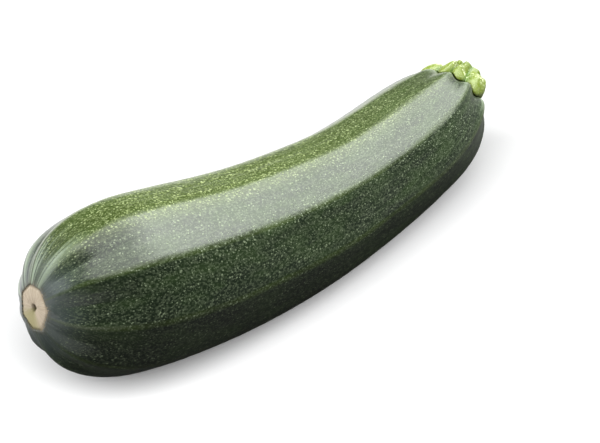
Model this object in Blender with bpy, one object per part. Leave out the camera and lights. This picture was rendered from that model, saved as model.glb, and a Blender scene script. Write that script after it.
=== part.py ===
"""A zucchini as picked, lying on a table: the ribbed fruit with its blossom scar, and its short cut stem.

Run with blender --background --python part.py, or from Blender's text editor.
Metres, +Z up. The blossom end points to -X and the stem to +X. The fruit rests on a small flat spot at Z = 0,
and the origin is on the table, under the middle of the object's box.

Both pieces are lofts about one bent middle line. A point on them is given by its length along that line from
the blossom scar, its radius from the line, and its angle round it. Angle 0 is square to the plane of the bend,
on the side that leans up, and the angle grows towards the outside of the bend.
"""

import math

import bmesh
import bpy
import numpy as np

# Fruit, in metres and degrees
FRUIT_LENGTH = 0.189        # along the middle line, from the scar to the shoulder
BELLY_RADIUS = 0.0253       # the thick end, towards the blossom
WAIST_RADIUS = 0.0193       # the slim end, towards the stem
BELLY_END = 0.13            # share of the length where the belly starts to narrow
WAIST_START = 0.80          # share of the length where the waist is reached
BEND = 33.3                 # turn of the middle line from end to end
BEND_MIDDLE = 0.87          # share of the length where it bends most
BEND_SPREAD = 0.80          # share of the length over which most of the bend is spread
LINE_STEPS = 400            # steps in which the middle line is drawn

# How it lies
LEAN = 38.0                 # tilt of the bend's plane from the table, with both ends raised
PITCH = -2.0                # lift of the stem end
REST_DEPTH = 0.0006         # how deep the resting spot is pressed in

# Flats round the section, by the angle of each one's middle. The ribs are the corners halfway between them.
# They are a little uneven, as on the fruit, and the one at 142 faces down to the table.
FLAT_ANGLES = (-11.0, 28.0, 68.0, 105.0, 142.0, 178.0, 212.0, 246.0, 280.0, 314.0)
RIB_SHARPNESS = 34.0        # higher gives flatter flats and sharper ribs
PLEAT_DEPTH = 0.0009        # sharp grooves on the flats at the blossom end
VALLEY_DEPTH = 0.0013       # round valleys on the flats at the stem end
PLEAT_REACH = 0.024         # how far the grooves and valleys reach from their ends
BLOSSOM_FADE = 0.60         # turn, in radians of the rounded end, over which ribs and grooves fade out
SHOULDER_FADE = 0.16
SWELL_HEIGHT = 0.0002       # slow unevenness of the skin
SWELL_LENGTH = 0.052

# Blossom end
BLOSSOM_CAP = 0.0364        # length over which the end rounds off
BLOSSOM_POWER = 2.3         # 2 is an ellipse, more is blunter
SCAR_RADIUS = 0.0066
DIMPLE_RADIUS = 0.0010
DIMPLE_DEPTH = 0.0009
# The scar from its dimple out to the groove at its edge: depth, and share of its radius
SCAR_PROFILE = ((0.0, 0.15), (-0.0002, 0.55), (-0.0001, 0.88), (0.0006, 0.97))

# Shoulder, round the stem
SHOULDER_CAP = 0.051        # length over which the stem end rounds off
SHOULDER_SKEW = 0.65        # how much longer it is on one side, as a share
SHOULDER_SKEW_ANGLE = -33.0
SHOULDER_POWER = 2.6
DIP_RADIUS = 0.0134         # inside this the shoulder lies lower, and the stem's collar sits on it
DIP_DEPTH = 0.0036
SOCKET_RADIUS = 0.0080
SOCKET_DEPTH = 0.0065

# Stem: lobes spread over the shoulder like a star, a short ridged stub and its cut
GAP = 0.0003                # clearance between the stem and the fruit
LOBE_ANGLES = (-82.0, -42.0, -22.0, 27.0, 109.0, 146.0, 180.0, 212.0, 244.0)
LOBE_SIZES = (1.0, 0.6, 0.6, 0.8, 0.8, 1.0, 0.8, 1.0, 0.9)     # 1 reaches from NOTCH_RADIUS to LOBE_RADIUS
LOBE_HEIGHTS = (1.4, 1.8, 1.2, 1.7, 0.7, 0.7, 0.7, 0.9, 1.0)   # 1 is from NOTCH_THICKNESS to LOBE_THICKNESS
LOBE_ROUNDNESS = 0.8        # lower gives broader lobes with narrower notches
LOBE_PEAK = 1.0             # higher gives sharper peaks
NOTCH_RADIUS = 0.0086
LOBE_RADIUS = 0.0120
NOTCH_THICKNESS = 0.0035
LOBE_THICKNESS = 0.0075
# The collar's edge from below: share of its thickness, and how far it draws in, as a share of its radius
COLLAR_EDGE = ((0.20, -0.02), (0.55, 0.04), (0.85, 0.13), (1.0, 0.24))
ROOT_TAPER = 0.85           # the root's end, as a share of its radius
ROOT_BEVEL = 0.0008
STUB_RADIUS = 0.0060
STUB_RIDGE = 0.0005         # height of the ridges that run up from the lobes
STUB_HEIGHT = 0.0030        # from the shoulder's top to the cut
STUB_RISE = 1.4             # higher makes the stub's foot lie flatter on the lobes
STUB_FLARE = 0.70           # share of the stub that its widening foot takes
CUT_SLANT = 0.0014          # how much further the cut reaches on one side than in its middle
CUT_SLANT_ANGLE = 30.0
CUT_BEVEL = 0.0005
CUT_HOLLOW = 0.0006
CUT_RIM = 0.45              # where the hollow's floor starts, as a share of the cut's radius

# How finely the surfaces are divided
STEPS_PER_FLAT = 6
STEPS_PER_LOBE = 8
BLOSSOM_RINGS = 13
BODY_RINGS = 26
SHOULDER_RINGS = 18
COLLAR_RINGS = 4
STUB_RINGS = 5
UNDERSIDE_STEPS = 80        # steps in which the shoulder is read to lay the collar on it

SKIN_COLOUR = (0.040, 0.100, 0.022, 1.0)
SCAR_COLOUR = (0.62, 0.50, 0.33, 1.0)
STEM_COLOUR = (0.33, 0.47, 0.08, 1.0)
SKIN_ROUGHNESS = 0.32
SCAR_ROUGHNESS = 0.75
STEM_ROUGHNESS = 0.50
SHARP_EDGE = 50.0           # edges that turn more than this stay sharp in shading


def smoothstep(value):
    value = np.clip(value, 0.0, 1.0)
    return value * value * (3.0 - 2.0 * value)


def heading(share):
    """Direction of the middle line in the bend's plane at this share of its length, zero on average."""
    every = np.tanh((np.linspace(0.0, 1.0, LINE_STEPS + 1) - BEND_MIDDLE) / BEND_SPREAD)
    here = np.tanh((share - BEND_MIDDLE) / BEND_SPREAD)
    return math.radians(BEND) * (here - every.mean()) / (every[-1] - every[0])


def middle_line(along):
    """Point and inward normal of the middle line at these lengths. Past its ends the line runs on straight."""
    shares = np.linspace(0.0, 1.0, LINE_STEPS + 1)
    step = FRUIT_LENGTH / LINE_STEPS
    turn = heading((shares[1:] + shares[:-1]) / 2)
    line_x = np.append(0.0, np.cumsum(np.cos(turn))) * step
    line_y = np.append(0.0, np.cumsum(np.sin(turn))) * step
    on_line = np.clip(along, 0.0, FRUIT_LENGTH)
    turn_here = heading(on_line / FRUIT_LENGTH)
    overshoot = along - on_line
    x = np.interp(on_line, shares * FRUIT_LENGTH, line_x) + overshoot * np.cos(turn_here)
    y = np.interp(on_line, shares * FRUIT_LENGTH, line_y) + overshoot * np.sin(turn_here)
    level = np.zeros_like(x)
    return np.stack([x, y, level], -1), np.stack([-np.sin(turn_here), np.cos(turn_here), level], -1)


def place(along, radius, angle):
    """Points at these lengths, radii and angles, leaned and pitched as the fruit lies."""
    along, radius, angle = np.broadcast_arrays(along, radius, angle)
    centre, inward = middle_line(along)
    square = np.array([0.0, 0.0, 1.0])
    outward = np.cos(angle)[..., None] * square - np.sin(angle)[..., None] * inward
    points = centre + radius[..., None] * outward
    lean, pitch = math.radians(LEAN), math.radians(-PITCH)
    leaned = np.array(
        [[1, 0, 0], [0, math.cos(lean), -math.sin(lean)], [0, math.sin(lean), math.cos(lean)]]
    )
    pitched = np.array(
        [[math.cos(pitch), 0, math.sin(pitch)], [0, 1, 0], [-math.sin(pitch), 0, math.cos(pitch)]]
    )
    return points @ leaned.T @ pitched.T


def count_round(angle, middles):
    """Counts round the section: a whole number at each middle, and a half halfway between two."""
    marks = np.radians(np.append(middles, middles[0] + 360.0))
    turned = (angle - marks[0]) % (2.0 * math.pi) + marks[0]
    return np.interp(turned, marks, np.arange(len(marks)))


def angles_round(middles, steps):
    """Angles that divide the section evenly between the middles, so edges fall on the ribs and the notches."""
    marks = np.radians(np.append(middles, middles[0] + 360.0))
    count = np.arange(len(middles) * steps) / steps
    return np.interp(count, np.arange(len(marks)), marks)


def body_radius(along):
    share = along / FRUIT_LENGTH
    narrowing = smoothstep((share - BELLY_END) / (WAIST_START - BELLY_END))
    return BELLY_RADIUS + (WAIST_RADIUS - BELLY_RADIUS) * narrowing


def ribs(along, angle):
    """Height of the skin over the round section: a polygon with soft corners, on a slowly uneven surface."""
    turned = angle[..., None] - np.radians(FLAT_ANGLES)
    reach = np.maximum(np.cos(turned), 0.0) ** RIB_SHARPNESS
    polygon = reach.sum(-1) ** (-1.0 / RIB_SHARPNESS)
    wave = np.sin(2.0 * math.pi * along / SWELL_LENGTH + 2.0 * np.sin(angle) + 1.0)
    return body_radius(along) * (polygon - 1.0) + SWELL_HEIGHT * wave * np.sin(2.0 * angle)


def pleats(along, angle):
    """Depth of the sharp grooves up the flats from the scar, and of the round valleys from the stem."""
    count = math.pi * count_round(angle, FLAT_ANGLES)
    near_scar = 1.0 - smoothstep(along / PLEAT_REACH)
    near_stem = 1.0 - smoothstep((FRUIT_LENGTH - along) / PLEAT_REACH)
    grooves = PLEAT_DEPTH * near_scar * (1.0 - np.abs(np.sin(count)))
    return grooves + VALLEY_DEPTH * near_stem * np.cos(count) ** 2


def blossom_cap(turn, angle):
    """Length and radius on the rounding of the blossom end, from its tip at 0 to the body at a quarter turn."""
    power = 2.0 / BLOSSOM_POWER
    first = math.asin((SCAR_RADIUS / BELLY_RADIUS) ** (1.0 / power))
    start = 1.0 - math.cos(first) ** power
    turn = first + (math.pi / 2 - first) * turn
    along = BLOSSOM_CAP * (1.0 - np.cos(turn) ** power - start) / (1.0 - start)
    height = (ribs(along, angle) - pleats(along, angle)) * smoothstep((turn - first) / BLOSSOM_FADE)
    radius = body_radius(along) * np.sin(turn) ** power
    return along - height * math.cos(turn), radius + height * math.sin(turn)


def shoulder_reach(angle):
    return SHOULDER_CAP * (1.0 + SHOULDER_SKEW * np.cos(angle - math.radians(SHOULDER_SKEW_ANGLE)))


def shoulder_cap(turn, angle):
    """Length and radius on the rounding of the stem end, from the socket at 0 to the body at 1."""
    power = 2.0 / SHOULDER_POWER
    first = math.asin((SOCKET_RADIUS / WAIST_RADIUS) ** (1.0 / power))
    turn = first + (math.pi / 2 - first) * turn
    along = FRUIT_LENGTH - shoulder_reach(angle) * (1.0 - np.cos(turn) ** power)
    radius = body_radius(along) * np.sin(turn) ** power
    dip = DIP_DEPTH * (1.0 - smoothstep((radius - SOCKET_RADIUS) / (DIP_RADIUS - SOCKET_RADIUS)))
    height = (ribs(along, angle) - pleats(along, angle)) * smoothstep((turn - first) / SHOULDER_FADE)
    return along - dip + height * np.cos(turn), radius + height * np.sin(turn)


def loft(name, rings, materials, slots):
    """One closed mesh through the rings of points, with a fan from each end ring to its middle."""
    mesh = bmesh.new()
    loops = [[mesh.verts.new(point) for point in ring] for ring in rings]
    first = mesh.verts.new(rings[0].mean(0))
    last = mesh.verts.new(rings[-1].mean(0))
    for near, far, slot in zip(loops, loops[1:], slots[1:]):
        for a, b, c, d in zip(near, near[1:] + near[:1], far[1:] + far[:1], far):
            mesh.faces.new((a, b, c, d)).material_index = slot
    for a, b in zip(loops[0], loops[0][1:] + loops[0][:1]):
        mesh.faces.new((first, b, a)).material_index = slots[0]
    for a, b in zip(loops[-1], loops[-1][1:] + loops[-1][:1]):
        mesh.faces.new((last, a, b)).material_index = slots[-1]
    data = bpy.data.meshes.new(name)
    mesh.to_mesh(data)
    mesh.free()
    for material in materials:
        data.materials.append(material)
    data.shade_smooth()
    data.set_sharp_from_angle(angle=math.radians(SHARP_EDGE))
    piece = bpy.data.objects.new(name, data)
    bpy.context.scene.collection.objects.link(piece)
    return piece


def scar_rings(plain):
    """The scar: its dimple, its nearly flat face and the groove at its edge."""
    dimple = [(DIMPLE_DEPTH * plain, DIMPLE_RADIUS / 2 * plain)]
    return dimple + [(depth * plain, SCAR_RADIUS * share * plain) for depth, share in SCAR_PROFILE]


def add_fruit(skin, scar):
    angle = angles_round(FLAT_ANGLES, STEPS_PER_FLAT)
    plain = np.ones_like(angle)
    rings = scar_rings(plain)
    slots = [1] * len(rings)
    for turn in np.linspace(0.0, 1.0, BLOSSOM_RINGS):
        rings.append(blossom_cap(turn, angle))
    for along in np.linspace(BLOSSOM_CAP * plain, FRUIT_LENGTH - shoulder_reach(angle), BODY_RINGS)[1:-1]:
        rings.append((along, body_radius(along) + ribs(along, angle) - pleats(along, angle)))
    for turn in np.linspace(1.0, 0.0, SHOULDER_RINGS):
        rings.append(shoulder_cap(turn, angle))
    floor = FRUIT_LENGTH - DIP_DEPTH - SOCKET_DEPTH
    rings.append((floor * plain, SOCKET_RADIUS * plain))
    slots += [0] * (len(rings) - len(slots))
    points = [place(along, radius, angle) for along, radius in rings]
    return loft("fruit", points, [skin, scar], slots)


def lobe_share(angle, sizes, sharpness):
    """The lobe's own size on its middle, falling to 0 in the notch between two."""
    count = count_round(angle, LOBE_ANGLES)
    lobe = np.array(sizes)[np.rint(count).astype(int) % len(sizes)]
    return lobe * np.abs(np.cos(math.pi * count)) ** sharpness


def collar_radius(angle):
    return NOTCH_RADIUS + (LOBE_RADIUS - NOTCH_RADIUS) * lobe_share(angle, LOBE_SIZES, LOBE_ROUNDNESS)


def collar_thickness(angle):
    return NOTCH_THICKNESS + (LOBE_THICKNESS - NOTCH_THICKNESS) * lobe_share(angle, LOBE_HEIGHTS, LOBE_PEAK)


def collar_underside(part, angle):
    """Length and radius under the collar, just clear of the shoulder, from the socket at 0 to the edge at 1."""
    radius_here = SOCKET_RADIUS + (collar_radius(angle) - SOCKET_RADIUS) * part
    turns = np.linspace(0.0, 1.0, UNDERSIDE_STEPS)
    shoulder = [shoulder_cap(turn, angle) for turn in turns]
    lengths = np.array([along for along, _ in shoulder])
    radii = np.array([radius for _, radius in shoulder])
    column = np.arange(len(angle))
    along = np.array([np.interp(radius_here[i], radii[:, i], lengths[:, i]) for i in column])
    return along + 2.0 * GAP, radius_here


def stem_rings(angle):
    """The stem from its root in the socket, out under the collar, round its edge and up the stub to the cut."""
    plain = np.ones_like(angle)
    root = SOCKET_RADIUS - GAP
    floor = FRUIT_LENGTH - DIP_DEPTH - SOCKET_DEPTH + GAP
    seat, _ = collar_underside(0.0, angle)
    rings = [(floor * plain, root * ROOT_TAPER * plain), ((floor + ROOT_BEVEL) * plain, root * plain)]
    rings.append((seat, root * plain))
    for part in np.linspace(0.2, 0.96, COLLAR_RINGS):
        rings.append(collar_underside(part, angle))
    thickness = collar_thickness(angle)
    edge_along, edge_radius = collar_underside(1.0, angle)
    for rise, inset in COLLAR_EDGE:
        rings.append((edge_along + rise * thickness, edge_radius * (1.0 - inset)))
    top_along, top_radius = rings[-1]
    stub = STUB_RADIUS + STUB_RIDGE * np.cos(2.0 * math.pi * count_round(angle, LOBE_ANGLES))
    slant = CUT_SLANT * np.cos(angle - math.radians(CUT_SLANT_ANGLE))
    cut = FRUIT_LENGTH + STUB_HEIGHT + slant
    for part in np.linspace(0.0, 1.0, STUB_RINGS + 1)[1:]:
        rise = part**STUB_RISE
        sweep = smoothstep(part / STUB_FLARE)
        rings.append((top_along + (cut - top_along) * rise, top_radius + (stub - top_radius) * sweep))
    rings.append((cut + CUT_BEVEL, stub - CUT_BEVEL))
    rings.append((cut + CUT_BEVEL - CUT_HOLLOW - slant * (1.0 - CUT_RIM), stub * CUT_RIM))
    return rings


def add_stem(flesh):
    angle = angles_round(LOBE_ANGLES, STEPS_PER_LOBE)
    points = [place(along, radius, angle) for along, radius in stem_rings(angle)]
    return loft("stem", points, [flesh], [0] * len(points))


def finish(name, colour, roughness):
    material = bpy.data.materials.new(name)
    material.use_nodes = True
    shader = material.node_tree.nodes["Principled BSDF"]
    shader.inputs["Base Color"].default_value = colour
    shader.inputs["Roughness"].default_value = roughness
    return material


def settle(pieces):
    """Sets the pieces on the table, presses the resting spot flat and centres them over the origin."""
    clouds = [np.array([vertex.co[:] for vertex in piece.data.vertices]) for piece in pieces]
    low = np.min([cloud.min(0) for cloud in clouds], 0)
    high = np.max([cloud.max(0) for cloud in clouds], 0)
    shift = np.array([-(low[0] + high[0]) / 2, -(low[1] + high[1]) / 2, -low[2] - REST_DEPTH])
    for piece, cloud in zip(pieces, clouds):
        moved = cloud + shift
        moved[:, 2] = np.maximum(moved[:, 2], 0.0)
        piece.data.vertices.foreach_set("co", moved.ravel())
        piece.data.update()


def main():
    for old in list(bpy.data.objects):
        bpy.data.objects.remove(old)
    skin = finish("fruit_skin", SKIN_COLOUR, SKIN_ROUGHNESS)
    scar = finish("blossom_scar", SCAR_COLOUR, SCAR_ROUGHNESS)
    flesh = finish("stem_flesh", STEM_COLOUR, STEM_ROUGHNESS)
    settle([add_fruit(skin, scar), add_stem(flesh)])


main()
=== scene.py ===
"""The looks of a zucchini: its speckled, waxy skin with the blossom scar, its star-shaped cut stem with fine
hairs, and a plain white studio round it.

The fine surfaces follow the same rule as the solids they replace. Both pieces are lofts about one bent middle
line, and a point on them is given by its length along that line from the blossom scar, its radius from the
line, and its angle round it. Metres, +Z up, the blossom end to -X and the stem to +X.
"""

import math

import bpy
import numpy as np
from bpy.props import FloatProperty, FloatVectorProperty, IntProperty, PointerProperty
from mathutils import Matrix, Vector


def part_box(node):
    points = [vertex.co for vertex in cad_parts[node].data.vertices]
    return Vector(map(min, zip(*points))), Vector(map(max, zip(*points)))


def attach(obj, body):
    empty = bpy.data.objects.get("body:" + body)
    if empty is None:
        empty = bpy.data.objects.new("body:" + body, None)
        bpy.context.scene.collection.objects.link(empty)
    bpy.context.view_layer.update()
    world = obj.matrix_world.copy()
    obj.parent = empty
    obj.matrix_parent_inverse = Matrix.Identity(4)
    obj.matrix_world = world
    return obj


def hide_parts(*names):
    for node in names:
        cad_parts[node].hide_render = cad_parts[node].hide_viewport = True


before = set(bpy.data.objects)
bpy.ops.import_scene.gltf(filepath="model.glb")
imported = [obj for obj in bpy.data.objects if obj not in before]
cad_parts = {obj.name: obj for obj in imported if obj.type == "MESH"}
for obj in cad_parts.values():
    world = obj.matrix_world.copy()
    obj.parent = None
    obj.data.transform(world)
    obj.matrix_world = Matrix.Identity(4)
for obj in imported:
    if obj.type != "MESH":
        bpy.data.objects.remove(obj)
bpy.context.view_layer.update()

bl_info = {
    "name": "Zucchini",
    "version": (1, 0, 0),
    "blender": (4, 5, 0),
    "location": "3D View > Sidebar > Zucchini",
    "description": "Builds a speckled zucchini with its stem, in a plain studio",
    "category": "Add Mesh",
}

MM = 1000.0                 # millimetres in a metre: patterns on the skin are sized in millimetres

# Fruit, as in the solids
BELLY_END = 0.13            # share of the length where the belly starts to narrow
WAIST_START = 0.80          # share of the length where the waist is reached
BEND_MIDDLE = 0.87          # share of the length where it bends most
BEND_SPREAD = 0.80          # share of the length over which most of the bend is spread
LINE_STEPS = 400            # steps in which the middle line is drawn
PITCH = -2.0                # lift of the stem end, in degrees
REST_DEPTH = 0.0006         # how deep the resting spot is pressed in
FLAT_ANGLES = (-11.0, 28.0, 68.0, 105.0, 142.0, 178.0, 212.0, 246.0, 280.0, 314.0)
RIB_SHARPNESS = 34.0        # higher gives flatter flats and sharper ribs
PLEAT_DEPTH = 0.0009        # sharp grooves on the flats at the blossom end
VALLEY_DEPTH = 0.0013       # round valleys on the flats at the stem end
PLEAT_REACH = 0.024         # how far the grooves and valleys reach from their ends
BLOSSOM_FADE = 0.60         # turn, in radians of the rounded end, over which ribs and grooves fade out
SHOULDER_FADE = 0.16
SWELL_HEIGHT = 0.0002       # slow unevenness of the skin
SWELL_LENGTH = 0.052
BLOSSOM_CAP = 0.0364        # length over which the blossom end rounds off
BLOSSOM_POWER = 2.3         # 2 is an ellipse, more is blunter
SHOULDER_CAP = 0.051        # length over which the stem end rounds off
SHOULDER_SKEW = 0.65        # how much longer it is on one side, as a share
SHOULDER_SKEW_ANGLE = -33.0
SHOULDER_POWER = 2.6
DIP_RADIUS = 0.0134         # inside this the shoulder lies lower, and the stem's collar sits on it
DIP_DEPTH = 0.0036
SOCKET_RADIUS = 0.0080
SOCKET_DEPTH = 0.0065

# Blossom scar: depth against the share of its radius, from its dimple out to the groove at its edge
SCAR_SHARES = (0.0, 0.05, 0.13, 0.17, 0.25, 0.55, 0.86, 0.93, 0.97, 1.0)
SCAR_DEPTHS = (0.0011, 0.0009, 0.0003, 0.0, -0.0001, -0.0002, -0.0001, 0.0002, 0.0006, 0.0)
SCAR_SIDES = (4.0, 66.0, 120.0, 161.0, 218.0, 270.0, 314.0)    # middles of the sides of its uneven outline
SCAR_CORNERS = 26.0         # sharpness of its corners
SCAR_FADE = 0.12            # share of the rounded end over which that outline becomes round

# Sides of the skin: the angle of the middle, the cosine from it where the side starts, and what it takes from
# there to full strength
# The upper side takes the painted highlight of the streaks by the scar
UPPER_SIDE = (-82.0, 0.35, 0.45)
UPTURNED_SIDE = (-50.0, 0.80, 0.16)
GREEN_SCAR_ANGLE = 150.0    # side of the scar that is still green
# How strongly the upturned side takes its lighter colour, by the share of the length
UPTURNED_PARTS = (0.0, 0.20, 0.45, 1.0)
UPTURNED_SHARES = (0.55, 1.0, 0.95, 0.35)
# Pale streaks; by the scar they are painted highlight up the upper pleats. By the scar: how far they keep
# their strength, and the length over which they then fade.
# By the stem: how far before the shoulder's top they set in, and the length over which they gain strength.
SCAR_HIGHLIGHT_STREAKS = (0.002, 0.014)
STEM_STREAKS = (0.016, 0.012)
GRAIN_SIZE = 3.2            # grains of the skin's unevenness, in millimetres

# Stem, as in the solids
GAP = 0.0003                # clearance between the stem and the fruit
LOBE_ANGLES = (-82.0, -42.0, -22.0, 27.0, 109.0, 146.0, 180.0, 212.0, 244.0)
LOBE_SIZES = (1.0, 0.6, 0.6, 0.8, 0.8, 1.0, 0.8, 1.0, 0.9)
LOBE_HEIGHTS = (1.4, 1.8, 1.2, 1.7, 0.7, 0.7, 0.7, 0.9, 1.0)
LOBE_ROUNDNESS = 0.8        # lower gives broader lobes with narrower notches
LOBE_PEAK = 1.0             # higher gives sharper peaks
NOTCH_RADIUS = 0.0086
LOBE_RADIUS = 0.0120
NOTCH_THICKNESS = 0.0035
LOBE_THICKNESS = 0.0075
# The collar's edge from below, finer than in the solids: share of its thickness, and how far it draws in
COLLAR_EDGE = ((0.0, 0.0), (0.08, -0.012), (0.20, -0.02), (0.38, 0.005), (0.55, 0.04),
               (0.72, 0.085), (0.85, 0.13), (0.94, 0.18), (1.0, 0.24))
ROOT_TAPER = 0.85           # the root's end, as a share of its radius
ROOT_BEVEL = 0.0008
STUB_RADIUS = 0.0060
STUB_RIDGE = 0.0005         # height of the ridges that run up from the lobes
STUB_RISE = 1.4             # higher makes the stub's foot lie flatter on the lobes
STUB_FLARE = 0.70           # share of the stub that its widening foot takes
STUB_HEIGHT = 0.0030        # from the shoulder's top to the cut
CUT_SLANT = 0.0014          # how much further the cut reaches on one side than in its middle
CUT_SLANT_ANGLE = 30.0
CUT_BEVEL = 0.0005
CUT_HOLLOW = 0.0006
CUT_RIM = 0.45              # where the hollow's floor starts, as a share of the cut's radius

# Hairs on the stem
HAIRY_CLIMB = (0.1, 1.95)   # where they grow, from the collar's edge to just below the cut
HAIR_SIZES = (0.45, 1.0)    # the shortest and the longest, as shares of the hair length
HAIR_THICKNESS = 0.00004
HAIR_DRAW = 3               # seed of their sizes

# How finely the surfaces are divided
STEPS_PER_FLAT = 30
SCAR_RINGS = 16
BLOSSOM_RINGS = 62
BODY_RINGS = 146
SHOULDER_RINGS = 62
STEPS_PER_LOBE = 40
COLLAR_RINGS = 12
STUB_RINGS = 26
CUT_RINGS = 8
UNDERSIDE_STEPS = 240       # steps in which the shoulder is read to lay the collar on it
SCAR_SPAN = (0.02, 0.985)   # first and last ring of the scar, as shares of its radius
COLLAR_SPAN = (0.2, 0.96)   # first and last ring under the collar, from the socket at 0 to its edge at 1
CUT_SPAN = (0.9, 0.05)      # first and last ring of the cut, as shares of its radius
SKIN_RADIUS = 0.0225        # radius of the even cylinder on which the skin's pattern is laid

# Table. What it sheds on the fruit, and where it turns pure white, go by the distance from the origin.
# A distance lengthwise counts less, because the fruit lies that way.
TABLE_HALF = 6.0
TABLE_DROP = 0.00005            # how far it lies under the fruit
LENGTHWISE = 0.3                # what a distance lengthwise counts
SHADE_REACH = (0.010, 0.055)    # from the fruit's own shade to the open table
WHITE_REACH = (0.25, 0.60)      # from lit paint to pure white
# The far glow sets in and is full at these places: along X past each end, and along Y behind the fruit
BLOSSOM_WAY = (-0.11, -0.17)
STEM_WAY = (0.07, 0.13)
BACK_WAY = (0.02, 0.08)
BLOSSOM_GLOW = 0.8              # how much of it there is past each end
STEM_GLOW = 0.2

# Lights: azimuth and elevation in degrees, distance, width, height and tint. All look at one point.
LIGHTS = {
    "key": (86.0, 40.0, 2.6, 2.2, 2.3, (0.94, 1.0, 0.90)),
    "overhead": (90.0, 77.0, 1.54, 2.0, 2.0, (1.0, 1.0, 1.0)),
    "left_fill": (-146.0, 24.0, 1.5, 1.8, 0.9, (0.90, 0.96, 1.0)),
    "table_light": (-50.0, 52.0, 1.5, 4.4, 1.6, (1.0, 1.0, 1.0)),
}
LIGHT_AIM = (0.0, 0.0, 0.02)
ROOM_COLOUR = (0.92, 0.96, 1.0, 1.0)
WALL_COLOUR = (1.0, 1.0, 1.0, 1.0)
WALL_BRIGHTNESS = 0.95      # as the camera sees it

# Camera, fitted to the photograph: where it looks from, and its offset across and up from the origin
CAMERA_AZIMUTH = -47.49
CAMERA_ELEVATION = 33.19
CAMERA_DISTANCE = 0.758
CAMERA_ACROSS = 0.00486
CAMERA_UP = 0.01607
CAMERA_LENS = 147.5
SENSOR_WIDTH = 36.0


def length(name, text, metres):
    return FloatProperty(name=name, description=text, default=metres, min=0.0, unit="LENGTH", precision=5)


def angle(name, text, degrees):
    return FloatProperty(name=name, description=text, default=math.radians(degrees), unit="ROTATION")


def share(name, text, part):
    return FloatProperty(name=name, description=text, default=part, min=0.0, max=1.0, subtype="FACTOR")


def amount(name, text, value):
    return FloatProperty(name=name, description=text, default=value, min=0.0)


def colour(name, text, red, green, blue):
    return FloatVectorProperty(
        name=name, description=text, default=(red, green, blue), min=0.0, max=1.0, size=3, subtype="COLOR"
    )


class ZucchiniSizes(bpy.types.PropertyGroup):
    """Main sizes of the fruit and its stem."""

    fruit_length: length("Length", "Along the middle line, from the scar to the shoulder", 0.189)
    belly_radius: length("Belly radius", "Thick end, towards the blossom", 0.0253)
    waist_radius: length("Waist radius", "Slim end, towards the stem", 0.0193)
    scar_radius: length("Scar radius", "Blossom scar", 0.0066)
    bend: angle("Bend", "Turn of the middle line from end to end", 33.3)
    lean: angle("Lean", "Tilt of the bend's plane from the table", 38.0)
    relief: length("Skin relief", "Height of the fine unevenness of the skin", 0.00016)
    hair_length: length("Hair length", "Fine hairs on the stem", 0.0007)
    hair_density: amount("Hair density", "Hairs in a square metre of stem", 0.6e6)
    seed: IntProperty(name="Seed", description="Start of every random draw", default=7)


class ZucchiniSkin(bpy.types.PropertyGroup):
    """Colours of the fruit."""

    deep: colour("Deep green", "Darkest skin, between the speckles", 0.0060, 0.0130, 0.0045)
    leaf: colour("Leaf green", "Lighter clouds in the skin", 0.018, 0.036, 0.009)
    # Also used for painted highlight: the lighter line along the rib crests
    olive_and_crest_highlight: colour("Olive", "Skin of the sunny side and of the ribs", 0.043, 0.068, 0.005)
    speckle: colour("Speckles", "Small pale dots", 0.200, 0.245, 0.150)
    upturned_speckle: colour("Upturned speckles", "Pale dots on the sunny side", 0.315, 0.375, 0.155)
    # By the scar, these streaks are painted highlight
    pale: colour("Pale streaks", "Streaks up the pleats at both ends", 0.330, 0.400, 0.280)
    # Painted sheen: a greyer colour that stands in for the reflection on the skin round the scar
    painted_sheen: colour("Sheen", "Greyer, smoother skin round the scar", 0.058, 0.074, 0.070)
    scar: colour("Scar", "Dry tissue of the blossom scar", 0.52, 0.415, 0.295)
    scar_pale: colour("Scar fibres", "Paler fibres in the scar", 0.63, 0.53, 0.40)
    scar_green: colour("Scar tint", "Greener side of the scar", 0.33, 0.31, 0.09)
    # Its darkening of the groove round the scar's edge is painted shade
    scar_dark_and_groove_shade: colour("Scar dimple", "Dimple and groove of the scar", 0.070, 0.055, 0.022)
    roughness: share("Roughness", "How broad the skin's highlights are", 0.30)


class ZucchiniStemLook(bpy.types.PropertyGroup):
    """Colours of the stem."""

    flesh: colour("Flesh", "Sides of the lobes", 0.144, 0.198, 0.005)
    fringe: colour("Fringe", "Pale speckles along the lobes' edges", 0.670, 0.710, 0.440)
    shade: colour("Notches", "Deep in the notches", 0.075, 0.150, 0.010)
    cut: colour("Cut", "Cut face of the stub", 0.560, 0.600, 0.330)
    cut_dark: colour("Cut bundles", "Bundles that show in the cut", 0.210, 0.250, 0.090)
    hair: colour("Hairs", "Fine hairs", 0.500, 0.560, 0.300)
    roughness: share("Roughness", "How broad the stem's highlights are", 0.42)


class ZucchiniStudio(bpy.types.PropertyGroup):
    """The studio's brightness."""

    floor: colour("Floor", "Plain white table", 0.90, 0.90, 0.90)
    near_glow: amount("Near glow", "Light that the table in front sheds on the fruit", 0.19)
    far_glow: amount("Far glow", "Light that the table behind sheds on the fruit", 1.4)
    table: amount("Table light", "Brightness of the table's own light", 4.3)
    key: amount("Key light", "Brightness of the large light past the stem end", 6.4)
    overhead: amount("Overhead", "Brightness of the light above", 4.6)
    fill: amount("Fill", "Brightness of the light behind the blossom end", 2.7)
    world: amount("Surroundings", "Brightness of the room", 0.12)


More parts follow.
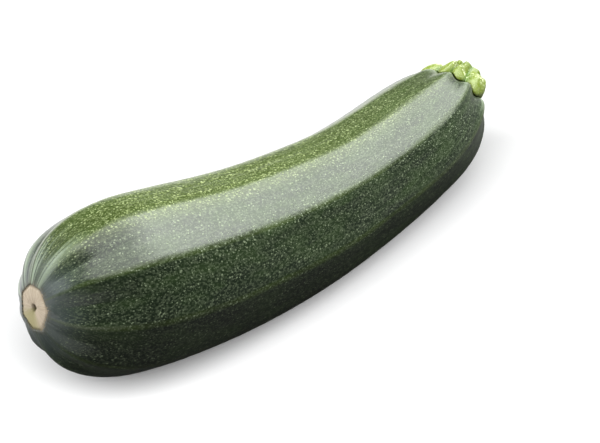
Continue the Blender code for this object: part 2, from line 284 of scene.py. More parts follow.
class Value:
    """A node's output. An expression on values adds the Math nodes that it needs."""

    def __init__(self, nodes, socket):
        self.nodes, self.socket = nodes, socket

    def maths(self, operation, first, second):
        return self.nodes.add("ShaderNodeMath", {"operation": operation}, {0: first, 1: second})

    def __add__(self, other):
        return self.maths("ADD", self, other)

    def __radd__(self, other):
        return self.maths("ADD", other, self)

    def __sub__(self, other):
        return self.maths("SUBTRACT", self, other)

    def __rsub__(self, other):
        return self.maths("SUBTRACT", other, self)

    def __mul__(self, other):
        return self.maths("MULTIPLY", self, other)

    def __rmul__(self, other):
        return self.maths("MULTIPLY", other, self)

    def __truediv__(self, other):
        return self.maths("DIVIDE", self, other)

    def smooth(self, low, high):
        """0 below low and 1 above high, with a soft step between them. The two may be the other way round."""
        return self.nodes.add(
            "ShaderNodeMapRange",
            {"interpolation_type": "SMOOTHSTEP"},
            {"Value": self, "From Min": low, "From Max": high},
        )

    def output(self, name):
        return Value(self.nodes, self.socket.node.outputs[name])


class Nodes:
    """A node tree that is written as calls."""

    def __init__(self, tree):
        self.tree = tree
        tree.nodes.clear()

    def add(self, kind, settings=None, inputs=None, output=0):
        node = self.tree.nodes.new(kind)
        for name, value in (settings or {}).items():
            setattr(node, name, value)
        for name, value in (inputs or {}).items():
            if isinstance(value, Value):
                self.tree.links.new(value.socket, node.inputs[name])
            else:
                node.inputs[name].default_value = value
        return Value(self, node.outputs[output]) if len(node.outputs) else None

    def attribute(self, name, output="Fac"):
        return self.add("ShaderNodeAttribute", {"attribute_name": name}, output=output)

    def stretch(self, vector, x, y, z):
        return self.add("ShaderNodeVectorMath", {"operation": "MULTIPLY"}, {0: vector, 1: (x, y, z)})

    def drawn_out(self, vector, factor):
        """The place for a pattern that is drawn out lengthwise, the more the smaller the factor is."""
        return self.stretch(vector, factor, 1.0, 1.0)

    def noise(self, vector, size, detail=2.0):
        """Noise from 0 to 1 whose grains are this large, in the vector's unit."""
        return self.add("ShaderNodeTexNoise", {}, {"Vector": vector, "Scale": 1.0 / size, "Detail": detail})

    def cells(self, vector, size):
        """Distance to the nearest of the scattered points, which lie about this far apart."""
        return self.add("ShaderNodeTexVoronoi", {}, {"Vector": vector, "Scale": 1.0 / size})

    def mix(self, factor, first, second):
        """From the first colour at 0 to the second at 1."""
        ends = [value if isinstance(value, Value) else (*value, 1.0) for value in (first, second)]
        return self.add("ShaderNodeMix", {"data_type": "RGBA"}, {0: factor, 6: ends[0], 7: ends[1]}, 2)

    def bump(self, height, millimetres):
        inputs = {"Strength": 1.0, "Distance": millimetres / MM, "Height": height}
        return self.add("ShaderNodeBump", {}, inputs)

    def surface(self, inputs):
        shader = self.add("ShaderNodeBsdfPrincipled", {}, inputs)
        self.add("ShaderNodeOutputMaterial", {}, {"Surface": shader})


def material(name):
    made = bpy.data.materials.new(name)
    made.use_nodes = True
    return made, Nodes(made.node_tree)


def smoothstep(value):
    value = np.clip(value, 0.0, 1.0)
    return value * value * (3.0 - 2.0 * value)


def heading(size, part):
    """Direction of the middle line in the bend's plane at this share of its length, zero on average."""
    every = np.tanh((np.linspace(0.0, 1.0, LINE_STEPS + 1) - BEND_MIDDLE) / BEND_SPREAD)
    here = np.tanh((part - BEND_MIDDLE) / BEND_SPREAD)
    return size.bend * (here - every.mean()) / (every[-1] - every[0])


def middle_line(size, along):
    """Points and inward normals of the middle line at these lengths. Past its ends it runs on straight."""
    parts = np.linspace(0.0, 1.0, LINE_STEPS + 1)
    step = size.fruit_length / LINE_STEPS
    turn = heading(size, (parts[1:] + parts[:-1]) / 2)
    line_x = np.append(0.0, np.cumsum(np.cos(turn))) * step
    line_y = np.append(0.0, np.cumsum(np.sin(turn))) * step
    on_line = np.clip(along, 0.0, size.fruit_length)
    turn_here = heading(size, on_line / size.fruit_length)
    overshoot = along - on_line
    x = np.interp(on_line, parts * size.fruit_length, line_x) + overshoot * np.cos(turn_here)
    y = np.interp(on_line, parts * size.fruit_length, line_y) + overshoot * np.sin(turn_here)
    level = np.zeros_like(x)
    return np.stack([x, y, level], -1), np.stack([-np.sin(turn_here), np.cos(turn_here), level], -1)


def place(size, along, radius, turned):
    """Points at these lengths, radii and angles, leaned and pitched as the fruit lies."""
    along, radius, turned = np.broadcast_arrays(along, radius, turned)
    centre, inward = middle_line(size, along)
    square = np.array([0.0, 0.0, 1.0])
    outward = np.cos(turned)[..., None] * square - np.sin(turned)[..., None] * inward
    points = centre + radius[..., None] * outward
    lying = Matrix.Rotation(math.radians(-PITCH), 3, "Y") @ Matrix.Rotation(size.lean, 3, "X")
    return points @ np.array(lying).T


def count_round(turned, middles):
    """Counts round the section: a whole number at each middle, and a half halfway between two."""
    marks = np.radians(np.append(middles, middles[0] + 360.0))
    on = (turned - marks[0]) % (2.0 * math.pi) + marks[0]
    return np.interp(on, marks, np.arange(len(marks)))


def angles_round(middles, steps):
    """Angles that divide the section evenly between the middles, so edges fall on ribs and notches."""
    marks = np.radians(np.append(middles, middles[0] + 360.0))
    return np.interp(np.arange(len(middles) * steps) / steps, np.arange(len(marks)), marks)


def polygon(turned, middles, sharpness):
    """Radius of a polygon with soft corners round the unit circle, by the angles of its sides' middles."""
    reach = np.maximum(np.cos(turned[..., None] - np.radians(middles)), 0.0) ** sharpness
    return reach.sum(-1) ** (-1.0 / sharpness)


def facing(turned, middle, start, fade):
    """1 on the side round this middle, softly falling to 0 where its cosine is at the start."""
    return smoothstep((np.cos(turned - math.radians(middle)) - start) / fade)


def body_radius(size, along):
    part = along / size.fruit_length
    narrowing = smoothstep((part - BELLY_END) / (WAIST_START - BELLY_END))
    return size.belly_radius + (size.waist_radius - size.belly_radius) * narrowing


def relief(size, along, turned):
    """Height of the skin over the round section, with its ribs, grooves and valleys."""
    return ribs(size, along, turned) - pleats(size, along, turned)


def ribs(size, along, turned):
    """Height of the skin over the round section: flats and ribs, on a slowly uneven surface."""
    wave = np.sin(2.0 * math.pi * along / SWELL_LENGTH + 2.0 * np.sin(turned) + 1.0)
    height = body_radius(size, along) * (polygon(turned, FLAT_ANGLES, RIB_SHARPNESS) - 1.0)
    return height + SWELL_HEIGHT * wave * np.sin(2.0 * turned)


def pleats(size, along, turned):
    """Depth of the sharp grooves up the flats from the scar, and of the round valleys from the stem."""
    count = math.pi * count_round(turned, FLAT_ANGLES)
    near_scar = 1.0 - smoothstep(along / PLEAT_REACH)
    near_stem = 1.0 - smoothstep((size.fruit_length - along) / PLEAT_REACH)
    grooves = PLEAT_DEPTH * near_scar * (1.0 - np.abs(np.sin(count)))
    return grooves + VALLEY_DEPTH * near_stem * np.cos(count) ** 2


def scar_outline(turned):
    """How far the scar's uneven outline stands out, as a share of its radius, zero on average."""
    outline = polygon(turned, SCAR_SIDES, SCAR_CORNERS)
    return outline / outline.mean() - 1.0


def blossom_cap(size, turn, turned):
    """Length and radius on the rounding of the blossom end, from the scar at 0 to the body at 1."""
    power = 2.0 / BLOSSOM_POWER
    first = math.asin((size.scar_radius / size.belly_radius) ** (1.0 / power))
    start = 1.0 - math.cos(first) ** power
    outline = scar_outline(turned) * (1.0 - smoothstep(turn / SCAR_FADE))
    turn = first + (math.pi / 2 - first) * turn
    along = BLOSSOM_CAP * (1.0 - np.cos(turn) ** power - start) / (1.0 - start)
    height = relief(size, along, turned) * smoothstep((turn - first) / BLOSSOM_FADE)
    radius = body_radius(size, along) * np.sin(turn) ** power * (1.0 + outline)
    return along - height * math.cos(turn), radius + height * math.sin(turn)


def shoulder_reach(turned):
    return SHOULDER_CAP * (1.0 + SHOULDER_SKEW * np.cos(turned - math.radians(SHOULDER_SKEW_ANGLE)))


def shoulder_cap(size, turn, turned):
    """Length and radius on the rounding of the stem end, from the socket at 0 to the body at 1."""
    power = 2.0 / SHOULDER_POWER
    first = math.asin((SOCKET_RADIUS / size.waist_radius) ** (1.0 / power))
    turn = first + (math.pi / 2 - first) * turn
    along = size.fruit_length - shoulder_reach(turned) * (1.0 - np.cos(turn) ** power)
    radius = body_radius(size, along) * np.sin(turn) ** power
    dip = DIP_DEPTH * (1.0 - smoothstep((radius - SOCKET_RADIUS) / (DIP_RADIUS - SOCKET_RADIUS)))
    height = relief(size, along, turned) * smoothstep((turn - first) / SHOULDER_FADE)
    return along - dip + height * np.cos(turn), radius + height * np.sin(turn)


def fruit_rings(size, turned):
    """Rings from the scar's middle to the floor of the socket, as lengths, radii and a share: 0 to 1 over the
    scar, 1 to 2 over the rounded end, and 2 from there on."""
    plain = np.ones_like(turned)
    rings = []
    for part in np.linspace(*SCAR_SPAN, SCAR_RINGS):
        depth = np.interp(part, SCAR_SHARES, SCAR_DEPTHS)
        rings.append((depth * plain, size.scar_radius * part * (1.0 + scar_outline(turned)), part))
    for turn in np.linspace(0.0, 1.0, BLOSSOM_RINGS):
        rings.append((*blossom_cap(size, turn, turned), 1.0 + turn))
    ends = BLOSSOM_CAP * plain, size.fruit_length - shoulder_reach(turned)
    for along in np.linspace(*ends, BODY_RINGS)[1:-1]:
        rings.append((along, body_radius(size, along) + relief(size, along, turned), 2.0))
    for turn in np.linspace(1.0, 0.0, SHOULDER_RINGS):
        rings.append((*shoulder_cap(size, turn, turned), 2.0))
    floor = size.fruit_length - DIP_DEPTH - SOCKET_DEPTH
    rings.append((floor * plain, SOCKET_RADIUS * plain, 2.0))
    return rings


def lobe_share(turned, sizes, sharpness):
    """The lobe's own size on its middle, falling to 0 in the notch between two."""
    count = count_round(turned, LOBE_ANGLES)
    lobe = np.array(sizes)[np.rint(count).astype(int) % len(sizes)]
    return lobe * np.abs(np.cos(math.pi * count)) ** sharpness


def collar_radius(turned):
    return NOTCH_RADIUS + (LOBE_RADIUS - NOTCH_RADIUS) * lobe_share(turned, LOBE_SIZES, LOBE_ROUNDNESS)


def collar_thickness(turned):
    lobe = lobe_share(turned, LOBE_HEIGHTS, LOBE_PEAK)
    return NOTCH_THICKNESS + (LOBE_THICKNESS - NOTCH_THICKNESS) * lobe


def collar_underside(size, part, turned):
    """Length and radius under the collar, clear of the shoulder, from the socket at 0 to its edge at 1."""
    radius_here = SOCKET_RADIUS + (collar_radius(turned) - SOCKET_RADIUS) * part
    turns = np.linspace(0.0, 1.0, UNDERSIDE_STEPS)
    shoulder = [shoulder_cap(size, turn, turned) for turn in turns]
    lengths = np.array([along for along, _ in shoulder])
    radii = np.array([radius for _, radius in shoulder])
    along = np.array([np.interp(radius_here[i], radii[:, i], lengths[:, i]) for i in range(len(turned))])
    return along + 2.0 * GAP, radius_here


def stem_rings(size, turned):
    """Rings from the root round the collar and up the stub to the cut, as lengths, radii and the climb. It is
    -1 to 0 on the root and the underside, 0 to 1 round the edge, 1 to 2 up the stub and 2 to 3 on the cut."""
    plain = np.ones_like(turned)
    root = SOCKET_RADIUS - GAP
    floor = size.fruit_length - DIP_DEPTH - SOCKET_DEPTH + GAP
    seat, _ = collar_underside(size, 0.0, turned)
    rings = [
        (floor * plain, root * ROOT_TAPER * plain, -1.0),
        ((floor + ROOT_BEVEL) * plain, root * plain, -1.0),
        (seat, root * plain, -0.8),
    ]
    for part in np.linspace(*COLLAR_SPAN, COLLAR_RINGS):
        rings.append((*collar_underside(size, part, turned), part - 1.0))
    thickness = collar_thickness(turned)
    edge_along, edge_radius = collar_underside(size, 1.0, turned)
    for rise, inset in COLLAR_EDGE:
        rings.append((edge_along + rise * thickness, edge_radius * (1.0 - inset), rise))
    top_along, top_radius, _ = rings[-1]
    stub = STUB_RADIUS + STUB_RIDGE * np.cos(2.0 * math.pi * count_round(turned, LOBE_ANGLES))
    slant = CUT_SLANT * np.cos(turned - math.radians(CUT_SLANT_ANGLE))
    cut = size.fruit_length + STUB_HEIGHT + slant
    for part in np.linspace(0.0, 1.0, STUB_RINGS + 1)[1:]:
        rise = part**STUB_RISE
        sweep = smoothstep(part / STUB_FLARE)
        along = top_along + (cut - top_along) * rise
        rings.append((along, top_radius + (stub - top_radius) * sweep, 1.0 + part))
    rings.append((cut + CUT_BEVEL, stub - CUT_BEVEL, 2.0))
    for part in np.linspace(*CUT_SPAN, CUT_RINGS):
        sunk = CUT_HOLLOW * smoothstep((1.0 - part) / CUT_RIM) + slant * (1.0 - part)
        rings.append((cut + CUT_BEVEL - sunk, (stub - CUT_BEVEL) * part, 3.0 - part))
    return rings


def loft(name, points, attributes):
    """A closed mesh through the rings of points, with a fan from each end ring to its middle."""
    rings, around = points.shape[:2]
    ends = np.stack([points[0].mean(0), points[-1].mean(0)])
    grid = np.arange(rings * around).reshape(rings, around)
    onward = np.roll(grid, -1, axis=1)
    quads = np.stack([grid[:-1], onward[:-1], onward[1:], grid[1:]], -1).reshape(-1, 4)
    first = np.stack([np.full(around, rings * around), onward[0], grid[0]], -1)
    last = np.stack([np.full(around, rings * around + 1), grid[-1], onward[-1]], -1)
    mesh = bpy.data.meshes.new(name)
    vertices = np.concatenate([points.reshape(-1, 3), ends])
    mesh.from_pydata(vertices, [], quads.tolist() + first.tolist() + last.tolist())
    for title, values in attributes.items():
        flat = values.reshape(rings * around, -1)
        flat = np.concatenate([flat, values[:1].mean(1).reshape(1, -1), values[-1:].mean(1).reshape(1, -1)])
        kind, key = ("FLOAT_VECTOR", "vector") if flat.shape[1] == 3 else ("FLOAT", "value")
        mesh.attributes.new(title, kind, "POINT").data.foreach_set(key, flat.ravel())
    mesh.shade_smooth()
    piece = bpy.data.objects.new(name, mesh)
    bpy.context.scene.collection.objects.link(piece)
    return piece


def ring_points(size, rings, turned):
    return np.array([place(size, along, radius, turned) for along, radius, _ in rings])


def resting_shift(size):
    """The move that sets the fruit on the table, with the middle of the object's box over the origin."""
    turned = angles_round(FLAT_ANGLES, STEPS_PER_FLAT)
    x, y, z = ring_points(size, fruit_rings(size, turned), turned).reshape(-1, 3).T
    low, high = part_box("fruit")
    return Vector((low.x - x.min(), (low.y + high.y - y.min() - y.max()) / 2, -z.min() - REST_DEPTH))


def skin_pattern(rings, turned):
    """Where each point lies on the skin in millimetres: lengthwise, and round an even cylinder."""
    path = np.array([np.stack([along, radius], -1) for along, radius, _ in rings])
    steps = np.linalg.norm(np.diff(path, axis=0), axis=-1)
    lengthwise = np.concatenate([np.zeros((1, len(turned))), np.cumsum(steps, 0)])
    round_x = np.broadcast_to(SKIN_RADIUS * np.cos(turned), lengthwise.shape)
    round_y = np.broadcast_to(SKIN_RADIUS * np.sin(turned), lengthwise.shape)
    return np.stack([lengthwise, round_x, round_y], -1) * MM


def grown(piece, tree, values):
    """The piece as its node tree leaves it, as a plain mesh with no modifier."""
    modifier = piece.modifiers.new(tree.name, "NODES")
    modifier.node_group = tree
    for socket in tree.interface.items_tree:
        if socket.name in values:
            modifier[socket.identifier] = values[socket.name]
    bpy.context.view_layer.update()
    mesh = bpy.data.meshes.new_from_object(piece.evaluated_get(bpy.context.evaluated_depsgraph_get()))
    piece.modifiers.remove(modifier)
    return mesh


def node_group(name, inputs):
    """A new geometry tree with these named inputs. Gives its nodes, and its inputs as values."""
    tree = bpy.data.node_groups.new(name, "GeometryNodeTree")
    nodes = Nodes(tree)
    tree.interface.new_socket("Geometry", in_out="INPUT", socket_type="NodeSocketGeometry")
    for title, kind in inputs.items():
        tree.interface.new_socket(title, in_out="INPUT", socket_type=kind)
    tree.interface.new_socket("Geometry", in_out="OUTPUT", socket_type="NodeSocketGeometry")
    entry = nodes.add("NodeGroupInput", output="Geometry")
    return nodes, {title: entry.output(title) for title in ("Geometry", *inputs)}


def close_group(nodes, geometry, finish):
    """Ends the tree: instances become real, and all that is left wears the finish."""
    real = nodes.add("GeometryNodeRealizeInstances", {}, {"Geometry": geometry})
    set_finish = nodes.add("GeometryNodeSetMaterial", {}, {"Geometry": real, "Material": finish})
    nodes.add("NodeGroupOutput", {}, {"Geometry": set_finish})


def skin_relief_tree():
    """Raises a fine unevenness along the normal: grains, and furrows that run lengthwise."""
    kinds = {"Relief": "NodeSocketFloat", "Grain": "NodeSocketFloat", "Material": "NodeSocketMaterial"}
    nodes, inputs = node_group("skin_relief", kinds)
    spot = nodes.add("GeometryNodeInputNamedAttribute", {"data_type": "FLOAT_VECTOR"}, {"Name": "skin_place"})
    grains = nodes.add("ShaderNodeTexNoise", {}, {"Vector": spot, "Scale": inputs["Grain"], "Detail": 2.0})
    furrows = nodes.noise(nodes.drawn_out(spot, 0.06), size=2.4)
    height = (grains + furrows * 1.2 - 1.1) * inputs["Relief"]
    normal = nodes.add("GeometryNodeInputNormal")
    offset = nodes.add("ShaderNodeVectorMath", {"operation": "SCALE"}, {"Vector": normal, "Scale": height})
    moved = nodes.add("GeometryNodeSetPosition", {}, {"Geometry": inputs["Geometry"], "Offset": offset})
    close_group(nodes, moved, inputs["Material"])
    return nodes.tree


def hair_tree():
    """Scatters fine tapered hairs over the surface, square to it."""
    kinds = {"Density": "NodeSocketFloat", "Length": "NodeSocketFloat", "Thickness": "NodeSocketFloat",
             "Seed": "NodeSocketInt", "Material": "NodeSocketMaterial"}
    nodes, inputs = node_group("stem_hair", kinds)
    climb = nodes.add("GeometryNodeInputNamedAttribute", {"data_type": "FLOAT"}, {"Name": "climb"})
    outside = nodes.add("FunctionNodeCompare", {"operation": "GREATER_THAN"}, {0: climb, 1: HAIRY_CLIMB[0]})
    below_cut = nodes.add("FunctionNodeCompare", {"operation": "LESS_THAN"}, {0: climb, 1: HAIRY_CLIMB[1]})
    grows = nodes.add("FunctionNodeBooleanMath", {"operation": "AND"}, {0: outside, 1: below_cut})
    scatter = {
        "Mesh": inputs["Geometry"],
        "Selection": grows,
        "Density": inputs["Density"],
        "Seed": inputs["Seed"],
    }
    points = nodes.add("GeometryNodeDistributePointsOnFaces", {}, scatter)
    cone = {
        "Vertices": 4,
        "Radius Top": 0.0,
        "Radius Bottom": inputs["Thickness"],
        "Depth": inputs["Length"],
    }
    hair = nodes.add("GeometryNodeMeshCone", {}, cone)
    draw = {2: HAIR_SIZES[0], 3: HAIR_SIZES[1], "Seed": HAIR_DRAW}
    size = nodes.add("FunctionNodeRandomValue", {"data_type": "FLOAT"}, draw, 1)
    placed = nodes.add(
        "GeometryNodeInstanceOnPoints",
        {},
        {"Points": points, "Instance": hair, "Rotation": points.output("Rotation"), "Scale": size},
    )
    close_group(nodes, placed, inputs["Material"])
    return nodes.tree


def skin_finish(look):
    """Waxy skin in two greens with pale speckles in lengthwise rows, and the dry tan scar."""
    made, nodes = material("zucchini_skin")
    spot = nodes.attribute("skin_place", "Vector")
    rib = nodes.attribute("rib")
    scar_part = nodes.attribute("scar_part")
    upturned = nodes.attribute("upturned")
    near_scar = nodes.attribute("near_scar")
    near_stem = nodes.attribute("near_stem")

    rows = nodes.noise(nodes.drawn_out(spot, 0.03), size=1.3, detail=1.0)
    clouds = nodes.noise(nodes.drawn_out(spot, 0.35), size=5.0, detail=4.0)
    grain = nodes.noise(nodes.drawn_out(spot, 0.6), size=0.55, detail=1.0)
    dots = nodes.cells(nodes.drawn_out(spot, 0.78), size=1.0)
    draw = nodes.add("ShaderNodeSeparateColor", {}, {0: dots.output("Color")})
    dot_size = 0.13 + draw * 0.18 + (rows - 0.5) * 0.4 + upturned * 0.05
    small_dots = (dots / dot_size).smooth(1.05, 0.55)
    fine = nodes.cells(nodes.drawn_out(spot, 0.8), size=0.66)
    fine_dots = (fine / (0.20 + rows * 0.3)).smooth(1.1, 0.5)
    streaks = nodes.noise(nodes.drawn_out(spot, 0.05), size=1.7)

    skin = nodes.mix(clouds.smooth(0.35, 0.70), look.deep, look.leaf)
    skin = nodes.mix(upturned * 0.75, skin, look.olive_and_crest_highlight)
    # Painted sheen: greyer skin round the scar, standing in for its reflection
    skin = nodes.mix(scar_part.smooth(1.45, 1.10) * (1.0 - upturned) * 0.75, skin, look.painted_sheen)
    # Painted highlight: a lighter line along the rib crests
    skin = nodes.mix(rib.smooth(0.97, 1.0) * clouds * 0.8, skin, look.olive_and_crest_highlight)
    dot_colour = nodes.mix(upturned, look.speckle, look.upturned_speckle)
    speckled = scar_part.smooth(1.06, 1.32) * 0.8 + 0.2
    skin = nodes.mix(grain.smooth(0.42, 0.70) * speckled * 0.22, skin, dot_colour)
    skin = nodes.mix(fine_dots * speckled * (0.32 + upturned * 0.24), skin, dot_colour)
    skin = nodes.mix(small_dots * speckled * 0.80, skin, dot_colour)
    # Pale streaks up the pleats' crests at both ends; by the scar they are painted highlight on the upper
    # side
    ends = (near_scar + near_stem) * streaks.smooth(0.42, 0.60)
    skin = nodes.mix(ends * rib.smooth(0.25, 0.95) * 0.75, skin, look.pale)

    fibres = nodes.noise(nodes.drawn_out(spot, 0.35), size=1.6, detail=3.0)
    tissue = nodes.mix(fibres.smooth(0.35, 0.75), look.scar, look.scar_pale)
    tissue = nodes.mix(nodes.attribute("scar_side").smooth(0.35, 1.0) * 0.6, tissue, look.scar_green)
    ragged = scar_part + (fibres - 0.5) * 0.10
    edge = scar_part.smooth(0.84, 1.0)
    dimple = scar_part.smooth(0.24, 0.08)
    # Painted shade in the groove round the scar's edge, inside and just outside it; the dimple is darker too
    tissue = nodes.mix(edge * (0.25 + fibres * 0.9), tissue, look.scar_dark_and_groove_shade)
    tissue = nodes.mix(dimple * (0.35 + 0.5 * fibres), tissue, look.scar_dark_and_groove_shade)
    skin = nodes.mix(ragged.smooth(1.05, 1.0) * 0.5, skin, look.scar_dark_and_groove_shade)
    on_scar = ragged.smooth(1.0, 0.985)
    base = nodes.mix(on_scar, skin, tissue)

    wax = look.roughness + (clouds - 0.5) * 0.12 + small_dots * 0.06
    roughness = wax + (0.75 - wax) * on_scar
    height = grain * 0.5 + small_dots * 0.5 + rows * 0.8 + on_scar * fibres * 4.0
    normal = nodes.bump(height, millimetres=0.05)
    nodes.surface({"Base Color": base, "Roughness": roughness, "Normal": normal, "IOR": 1.45})
    return made


def stem_finish(look):
    """Yellow-green flesh with painted shade deep in the notches, a pale speckled fringe and a fibrous cut."""
    made, nodes = material("stem_flesh")
    spot = nodes.attribute("stem_place", "Vector")
    climb = nodes.attribute("climb")
    lobe = nodes.attribute("lobe")
    clouds = nodes.noise(spot, size=2.2, detail=3.0)
    dots = nodes.cells(spot, size=0.95)
    speckles = dots.smooth(0.46, 0.26)
    fringe = climb.smooth(0.45, 0.85) * climb.smooth(1.55, 1.15)
    # Painted shade: a deeper green towards the notches between the lobes
    flesh = nodes.mix(lobe.smooth(0.45, 0.0), look.flesh, look.shade)
    flesh = nodes.mix(clouds.smooth(0.4, 0.7) * (0.10 + fringe * 0.25), flesh, look.fringe)
    flesh = nodes.mix(speckles * (0.10 + fringe * 0.90), flesh, look.fringe)
    bundles = nodes.cells(spot, size=1.3).smooth(0.42, 0.25)
    cut = nodes.mix(bundles * 0.6, look.cut, look.cut_dark)
    on_cut = climb.smooth(1.98, 2.03)
    base = nodes.mix(on_cut, flesh, cut)
    roughness = look.roughness + on_cut * 0.3
    furrows = nodes.noise(nodes.drawn_out(spot, 0.15), size=0.7)
    normal = nodes.bump(furrows * 0.7 + speckles * 0.6, millimetres=0.12)
    nodes.surface({"Base Color": base, "Roughness": roughness, "Normal": normal})
    return made


def hair_finish(look):
    """Pale hairs, some of them tinted by the flesh under them."""
    made, nodes = material("stem_hair")
    spot = nodes.add("ShaderNodeTexCoord", output="Object")
    tint = nodes.noise(spot, size=0.004, detail=1.0)
    base = nodes.mix(tint.smooth(0.35, 0.65) * 0.5, look.hair, look.flesh)
    nodes.surface({"Base Color": base, "Roughness": 0.45})
    return made


def floor_finish(look):
    """Plain white to the camera. Its light on the fruit is set on its own: little in front, more behind."""
    made, nodes = material("floor_paint")
    spot = nodes.add("ShaderNodeTexCoord", output="Object")
    parts = nodes.add("ShaderNodeSeparateXYZ", {}, {0: spot})
    level = nodes.stretch(spot, LENGTHWISE, 1.0, 0.0)
    away = nodes.add("ShaderNodeVectorMath", {"operation": "LENGTH"}, {0: level}, "Value")
    past_ends = parts.smooth(*BLOSSOM_WAY) * BLOSSOM_GLOW + parts.smooth(*STEM_WAY) * STEM_GLOW
    open_floor = parts.output("Y").smooth(*BACK_WAY) + past_ends
    glow = look.near_glow + open_floor * (look.far_glow - look.near_glow)
    shed = nodes.add("ShaderNodeEmission", {}, {"Strength": away.smooth(*SHADE_REACH) * glow})
    paint = nodes.add("ShaderNodeBsdfDiffuse", {}, {"Color": (*look.floor, 1.0)})
    white = nodes.add("ShaderNodeEmission", {}, {"Strength": 1.0})
    shown = nodes.add("ShaderNodeMixShader", {}, {0: away.smooth(*WHITE_REACH), 1: paint, 2: white})
    seen = nodes.add("ShaderNodeLightPath", output="Is Camera Ray")
    surface = nodes.add("ShaderNodeMixShader", {}, {0: seen, 1: shed, 2: shown})
    nodes.add("ShaderNodeOutputMaterial", {}, {"Surface": surface})
    made.cycles.emission_sampling = "NONE"
    return made


def wear(piece, finish):
    piece.data.materials.clear()
    piece.data.materials.append(finish)


def look_from(target, azimuth, elevation, distance):
    """Place and turn of a camera or a light that looks at the target from this side."""
    turn, rise = math.radians(azimuth), math.radians(elevation)
    back = Vector((math.sin(turn) * math.cos(rise), -math.cos(turn) * math.cos(rise), math.sin(rise)))
    turned = back.to_track_quat("Z", "Y").to_matrix().to_4x4()
    return Matrix.Translation(Vector(target) + back * distance) @ turned


def softbox(name, radiance, lit):
    """One of the lights, unseen by the camera. It lights only what is in the collection."""
    azimuth, elevation, distance, width, height, tint = LIGHTS[name]
    light = bpy.data.lights.new(name, "AREA")
    light.shape = "RECTANGLE"
    light.size, light.size_y = width, height
    light.energy = radiance * math.pi * width * height
    light.color = tint
    lamp = bpy.data.objects.new(name, light)
    lamp.matrix_world = look_from(LIGHT_AIM, azimuth, elevation, distance)
    lamp.visible_camera = False
    lamp.light_linking.receiver_collection = lit
    bpy.context.scene.collection.objects.link(lamp)


class ZUCCHINI_OT_fruit(bpy.types.Operator):
    """Adds the fruit with its skin and blossom scar."""

    bl_idname = "zucchini.add_fruit"
    bl_label = "Fruit"

    def execute(self, context):
        size, look = context.scene.zucchini_sizes, context.scene.zucchini_skin
        turned = angles_round(FLAT_ANGLES, STEPS_PER_FLAT)
        rings = fruit_rings(size, turned)
        points = ring_points(size, rings, turned) + np.array(resting_shift(size))
        points[..., 2] = np.maximum(points[..., 2], 0.0)
        grid = points.shape[:2]
        lengthwise = np.array([along for along, _, _ in rings])
        count = count_round(turned, FLAT_ANGLES)
        near_scar = 1.0 - smoothstep((lengthwise - SCAR_HIGHLIGHT_STREAKS[0]) / SCAR_HIGHLIGHT_STREAKS[1])
        near_stem = smoothstep((lengthwise - size.fruit_length + STEM_STREAKS[0]) / STEM_STREAKS[1])
        upturned_share = np.interp(lengthwise / size.fruit_length, UPTURNED_PARTS, UPTURNED_SHARES)
        attributes = {
            "skin_place": skin_pattern(rings, turned),
            "rib": np.broadcast_to(np.abs(np.sin(math.pi * count)), grid),
            "scar_part": np.broadcast_to(np.array([part for _, _, part in rings])[:, None], grid),
            "scar_side": np.broadcast_to(np.cos(turned - math.radians(GREEN_SCAR_ANGLE)), grid),
            "upturned": facing(turned, *UPTURNED_SIDE) * upturned_share,
            # Where the streaks by the scar carry painted highlight: the upper side only
            "near_scar": near_scar * facing(turned, *UPPER_SIDE),
            "near_stem": near_stem,
        }
        piece = loft("zucchini_fruit", points, attributes)
        values = {"Relief": size.relief, "Grain": 1.0 / GRAIN_SIZE, "Material": skin_finish(look)}
        piece.data = grown(piece, skin_relief_tree(), values)
        flat = np.zeros(len(piece.data.vertices) * 3)
        piece.data.vertices.foreach_get("co", flat)
        flat[2::3] = np.maximum(flat[2::3], 0.0)
        piece.data.vertices.foreach_set("co", flat)
        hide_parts("fruit")
        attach(piece, "root")
        return {"FINISHED"}


class ZUCCHINI_OT_stem(bpy.types.Operator):
    """Adds the star-shaped collar and the cut stub."""

    bl_idname = "zucchini.add_stem"
    bl_label = "Stem"

    def execute(self, context):
        size, look = context.scene.zucchini_sizes, context.scene.zucchini_stem
        turned = angles_round(LOBE_ANGLES, STEPS_PER_LOBE)
        rings = stem_rings(size, turned)
        points = ring_points(size, rings, turned) + np.array(resting_shift(size))
        grid = points.shape[:2]
        along = np.array([ring[0] for ring in rings])
        radius = np.array([ring[1] for ring in rings])
        spot = np.stack([along, radius * np.cos(turned), radius * np.sin(turned)], -1)
        attributes = {
            "stem_place": spot * MM,
            "climb": np.broadcast_to(np.array([climb for _, _, climb in rings])[:, None], grid),
            "lobe": np.broadcast_to(lobe_share(turned, LOBE_SIZES, LOBE_PEAK), grid),
        }
        piece = loft("zucchini_stem", points, attributes)
        wear(piece, stem_finish(look))
        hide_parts("stem")
        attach(piece, "root")
        return {"FINISHED"}


class ZUCCHINI_OT_hairs(bpy.types.Operator):
    """Grows fine hairs on the stem."""

    bl_idname = "zucchini.add_hairs"
    bl_label = "Stem hairs"

    def execute(self, context):
        size, look = context.scene.zucchini_sizes, context.scene.zucchini_stem
        ground = bpy.data.objects["zucchini_stem"].copy()
        context.scene.collection.objects.link(ground)
        values = {
            "Density": size.hair_density,
            "Length": size.hair_length,
            "Thickness": HAIR_THICKNESS,
            "Seed": size.seed,
            "Material": hair_finish(look),
        }
        piece = bpy.data.objects.new("stem_hairs", grown(ground, hair_tree(), values))
        bpy.data.objects.remove(ground)
        context.scene.collection.objects.link(piece)
        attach(piece, "root")
        return {"FINISHED"}


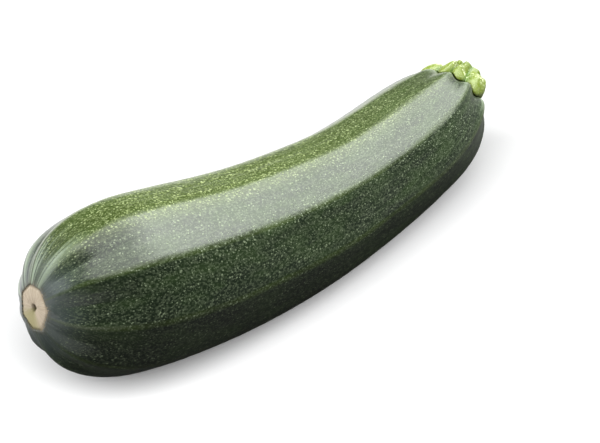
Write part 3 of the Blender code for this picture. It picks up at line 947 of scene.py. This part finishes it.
class ZUCCHINI_OT_studio(bpy.types.Operator):
    """Adds the white table, the soft lights and the camera."""

    bl_idname = "zucchini.add_studio"
    bl_label = "Studio"

    def execute(self, context):
        scene, look = context.scene, context.scene.zucchini_studio
        mesh = bpy.data.meshes.new("floor")
        signs = ((-1, -1), (1, -1), (1, 1), (-1, 1))
        corners = [(x * TABLE_HALF, y * TABLE_HALF, -TABLE_DROP) for x, y in signs]
        mesh.from_pydata(corners, [], [(0, 1, 2, 3)])
        floor = bpy.data.objects.new("floor", mesh)
        scene.collection.objects.link(floor)
        wear(floor, floor_finish(look))

        zucchini = bpy.data.collections.new("zucchini_pieces")
        for name in ("zucchini_fruit", "zucchini_stem", "stem_hairs"):
            zucchini.objects.link(bpy.data.objects[name])
        table = bpy.data.collections.new("table")
        table.objects.link(floor)
        softbox("key", look.key, zucchini)
        softbox("overhead", look.overhead, zucchini)
        softbox("left_fill", look.fill, zucchini)
        softbox("table_light", look.table, table)

        world = bpy.data.worlds.new("studio")
        world.use_nodes = True
        sky = Nodes(world.node_tree)
        seen = sky.add("ShaderNodeLightPath", output="Is Camera Ray")
        room = sky.add("ShaderNodeBackground", {}, {"Color": ROOM_COLOUR, "Strength": look.world})
        wall = sky.add("ShaderNodeBackground", {}, {"Color": WALL_COLOUR, "Strength": WALL_BRIGHTNESS})
        surface = sky.add("ShaderNodeMixShader", {}, {0: seen, 1: room, 2: wall})
        sky.add("ShaderNodeOutputWorld", {}, {"Surface": surface})
        scene.world = world
        scene.view_settings.view_transform = "Standard"

        camera = bpy.data.cameras.new("camera")
        camera.lens, camera.sensor_width = CAMERA_LENS, SENSOR_WIDTH
        eye = bpy.data.objects.new("camera", camera)
        aim = look_from((0.0, 0.0, 0.0), CAMERA_AZIMUTH, CAMERA_ELEVATION, CAMERA_DISTANCE)
        eye.matrix_world = aim @ Matrix.Translation((CAMERA_ACROSS, CAMERA_UP, 0.0))
        scene.collection.objects.link(eye)
        scene.camera = eye
        return {"FINISHED"}


class ZUCCHINI_PT_panel(bpy.types.Panel):
    """Lists the steps that build the zucchini."""

    bl_label = "Zucchini"
    bl_idname = "ZUCCHINI_PT_panel"
    bl_space_type = "VIEW_3D"
    bl_region_type = "UI"
    bl_category = "Zucchini"

    def draw(self, context):
        for group in ("zucchini_sizes", "zucchini_skin", "zucchini_stem", "zucchini_studio"):
            box = self.layout.box()
            owner = getattr(context.scene, group)
            for name in owner.bl_rna.properties.keys():
                if name not in ("name", "rna_type"):
                    box.prop(owner, name)
        for step in STEPS:
            self.layout.operator(step.bl_idname)


GROUPS = {
    "zucchini_sizes": ZucchiniSizes,
    "zucchini_skin": ZucchiniSkin,
    "zucchini_stem": ZucchiniStemLook,
    "zucchini_studio": ZucchiniStudio,
}
STEPS = (ZUCCHINI_OT_fruit, ZUCCHINI_OT_stem, ZUCCHINI_OT_hairs, ZUCCHINI_OT_studio)


def register():
    for owner in (*GROUPS.values(), *STEPS, ZUCCHINI_PT_panel):
        bpy.utils.register_class(owner)
    for name, owner in GROUPS.items():
        setattr(bpy.types.Scene, name, PointerProperty(type=owner))


def unregister():
    for name in GROUPS:
        delattr(bpy.types.Scene, name)
    for owner in (ZUCCHINI_PT_panel, *reversed(STEPS), *reversed(GROUPS.values())):
        bpy.utils.unregister_class(owner)


def main():
    register()
    bpy.ops.zucchini.add_fruit()
    bpy.ops.zucchini.add_stem()
    bpy.ops.zucchini.add_hairs()
    bpy.ops.zucchini.add_studio()


if __name__ == "__main__":
    main()
